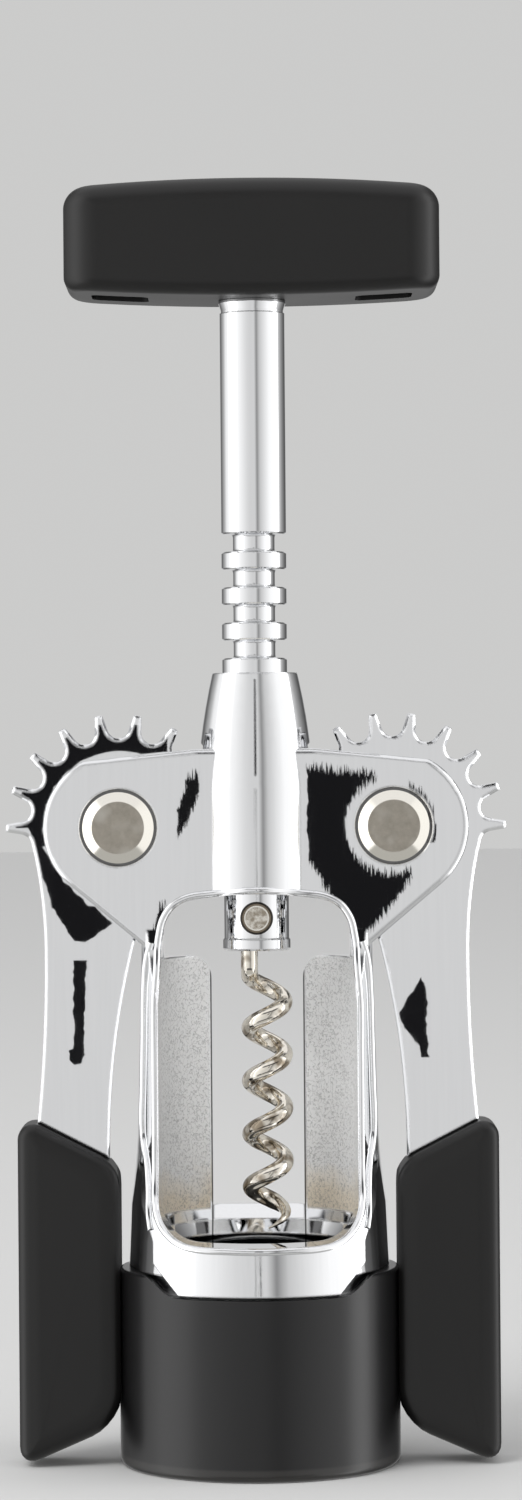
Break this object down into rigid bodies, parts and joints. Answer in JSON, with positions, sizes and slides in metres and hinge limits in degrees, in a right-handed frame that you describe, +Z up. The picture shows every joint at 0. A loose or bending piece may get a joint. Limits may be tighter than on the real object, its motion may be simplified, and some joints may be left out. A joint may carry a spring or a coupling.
{
  "type": "wing corkscrew",
  "caption": "Wing corkscrew: two toothed wings raise a grooved spindle with a wire worm inside an open cage with a bell foot.",
  "frame": {"origin": "on the spindle's axis, on the plane that the bell stands on", "axes": "+Z up along the spindle, front faces -Y, +X towards the right wing seen from the front"},
  "size_m": [0.0748, 0.042, 0.1915],
  "materials": {
    "chrome_casting": "bright chrome plate on a zinc casting",
    "chrome_spindle": "bright chrome plate",
    "nickel_pin": "bright nickel",
    "worm_wire": "nickel-plated steel wire",
    "soft_black": "soft-touch matt",
    "sleeve_charcoal": "satin soft plastic",
    "handle_black": "soft-touch matt",
    "bush_nylon": "natural nylon",
    "core_nylon": "glass-filled nylon",
    "steel_fastener": "zinc-plated steel"
  },
  "bodies": {
    "body_frame": {"frame": "chrome_casting", "guide_bush": "bush_nylon", "bell_sleeve": "sleeve_charcoal", "bell_liner": "sleeve_charcoal", "left_pivot_pin": "nickel_pin", "left_pin_cap": "nickel_pin", "right_pivot_pin": "nickel_pin", "right_pin_cap": "nickel_pin"},
    "left_wing": {"left_lever": "chrome_casting", "left_grip": "soft_black"},
    "right_wing": {"right_lever": "chrome_casting", "right_grip": "soft_black"},
    "collar": {"spindle_collar": "chrome_spindle"},
    "spindle": {"spindle": "chrome_spindle", "worm": "worm_wire", "worm_pin": "nickel_pin", "handle_core": "core_nylon", "handle_lower": "handle_black", "handle_upper": "handle_black", "handle_screw": "steel_fastener", "handle_washer": "steel_fastener"}
  },
  "joints": [
    {"name": "left_wing_pivot", "type": "hinge", "parent": "body_frame", "child": "left_wing", "pos_m": [-0.0205, 0, 0.09525], "axis": [0, 1, 0], "range_deg": [0, 150]},
    {"name": "right_wing_pivot", "type": "hinge", "parent": "body_frame", "child": "right_wing", "pos_m": [0.0205, 0, 0.09525], "axis": [0, -1, 0], "range_deg": [0, 150]},
    {"name": "spindle_slide", "type": "slide", "parent": "body_frame", "child": "collar", "axis": [0, 0, -1], "range_m": [0, 0.03977]},
    {"name": "handle_spin", "type": "hinge", "parent": "collar", "child": "spindle", "pos_m": [0, 0, 0.173], "axis": [0, 0, 1], "continuous": true}
  ],
  "couplings": [
    {"joint": "right_wing_pivot", "follows": "left_wing_pivot", "ratio": 1},
    {"joint": "spindle_slide", "follows": "left_wing_pivot", "m_per_rad": 0.015183}
  ]
}
